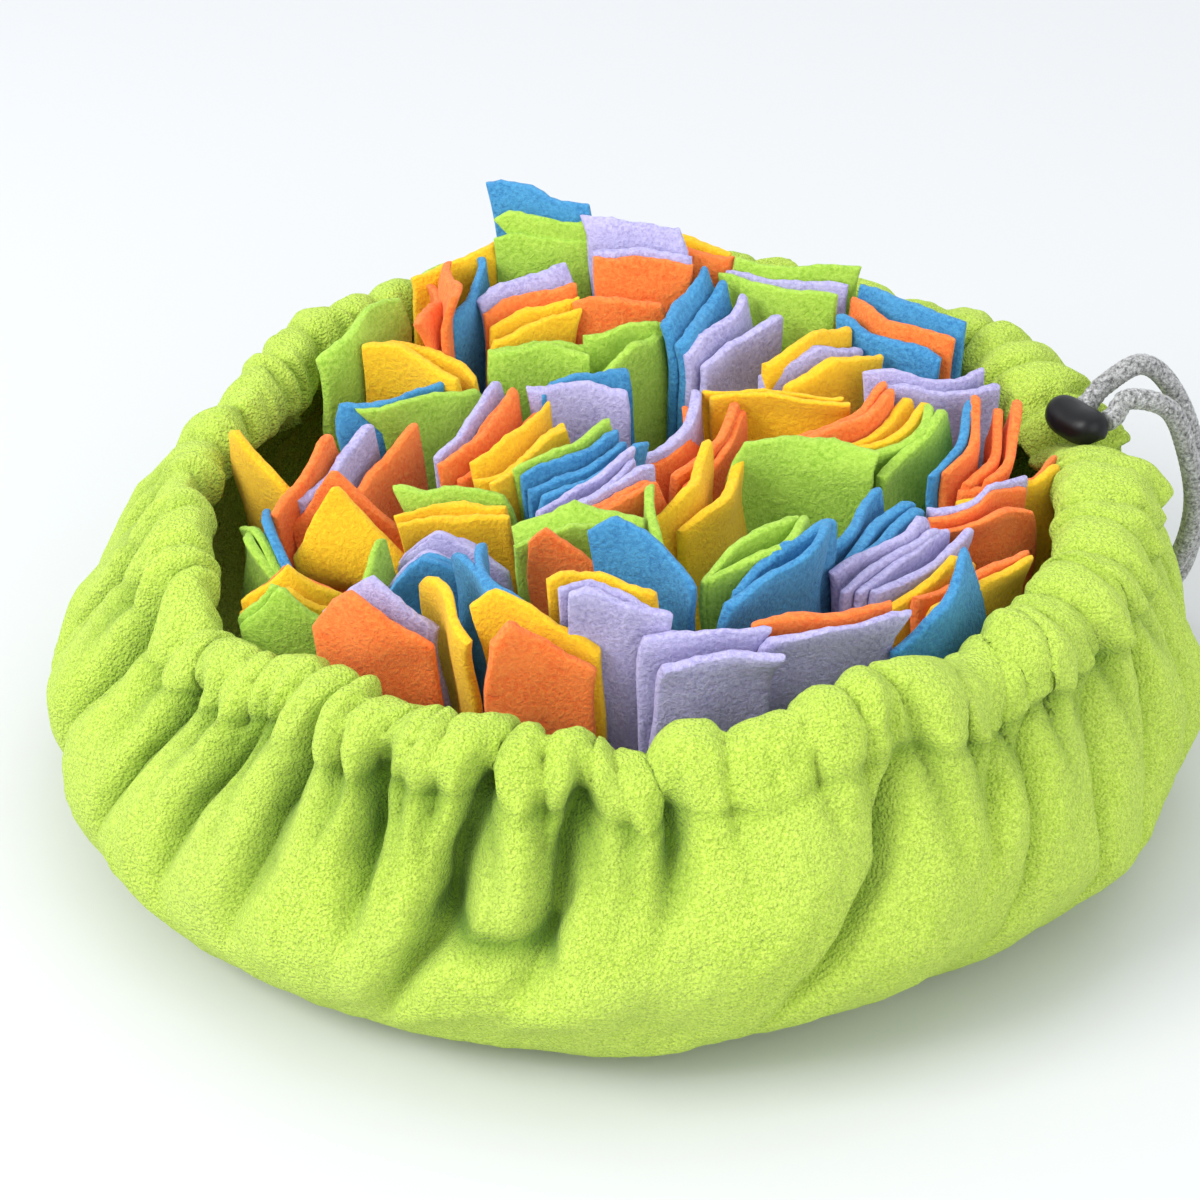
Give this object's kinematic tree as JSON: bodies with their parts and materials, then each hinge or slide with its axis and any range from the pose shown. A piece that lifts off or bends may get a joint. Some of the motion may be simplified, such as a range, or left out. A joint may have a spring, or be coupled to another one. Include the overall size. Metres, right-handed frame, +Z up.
{
  "type": "snuffle mat",
  "caption": "Round fleece snuffle mat for pets, drawn up by a cord into a low bowl whose base is sewn full of upright fleece strips.",
  "frame": {"origin": "middle of the flat underside of the bowl", "axes": "+Z up out of the bowl; -Y is the side shown to the camera and +X its right, with the cord lock at 12 degrees from +X towards +Y"},
  "size_m": [0.3239, 0.3224, 0.117],
  "materials": {
    "lime_fleece": "lime green fleece with a pile",
    "strip_fleece": "felted fleece in green, orange, yellow, blue and lavender",
    "cord": "grey melange braided cord",
    "lock_plastic": "smooth black"
  },
  "bodies": {
    "root": {"fleece_shell": "lime_fleece", "strips_back_rim": "strip_fleece", "strips_back_edges": "strip_fleece", "strips_back_mustard": "strip_fleece", "strips_back_blue": "strip_fleece", "strips_back_yellow": "strip_fleece", "strips_back_tall": "strip_fleece", "strips_back_stack": "strip_fleece", "strips_back_lavender": "strip_fleece", "strips_back_mixed": "strip_fleece", "strips_back_green": "strip_fleece", "strips_back_lean": "strip_fleece", "strips_back_right_orange": "strip_fleece", "strips_back_right_green": "strip_fleece", "strips_back_right_blue": "strip_fleece", "strips_back_right_yellow": "strip_fleece", "strips_mid_blue": "strip_fleece", "strips_mid_pair": "strip_fleece", "strips_mid_orange": "strip_fleece", "strips_mid_yellow": "strip_fleece", "strips_mid_fan": "strip_fleece", "strips_mid_lavender": "strip_fleece", "strips_mid_green": "strip_fleece", "strips_arch": "strip_fleece", "strips_edge_blue": "strip_fleece", "strips_big_yellow": "strip_fleece", "strips_left_orange": "strip_fleece", "strips_left_leaf": "strip_fleece", "strips_left_rim": "strip_fleece", "strips_left_yellow": "strip_fleece", "strips_big_green": "strip_fleece", "strips_green_leaf": "strip_fleece", "strips_front_corner": "strip_fleece", "strips_front_orange": "strip_fleece", "strips_front_lavender": "strip_fleece", "strips_corner_orange": "strip_fleece", "strips_green_pair": "strip_fleece", "strips_corner_blue": "strip_fleece", "strips_centre_leaf": "strip_fleece", "strips_tall_yellow": "strip_fleece", "strips_big_leaf": "strip_fleece", "strips_stacked": "strip_fleece", "strips_inner_orange": "strip_fleece", "strips_inner_yellow": "strip_fleece", "strips_back_pair": "strip_fleece", "strips_far_orange": "strip_fleece", "strips_far_lavender": "strip_fleece", "strips_wave_green": "strip_fleece", "strips_long_blue": "strip_fleece", "strips_long_lavender": "strip_fleece", "strips_right_mixed": "strip_fleece", "strips_right_rim": "strip_fleece", "strips_right_corner": "strip_fleece", "strips_right_low": "strip_fleece", "strips_low_orange": "strip_fleece", "strips_blue_leaf": "strip_fleece", "strips_low_lavender": "strip_fleece", "cord_lock": "lock_plastic", "drawcord": "cord"}
  },
  "joints": []
}
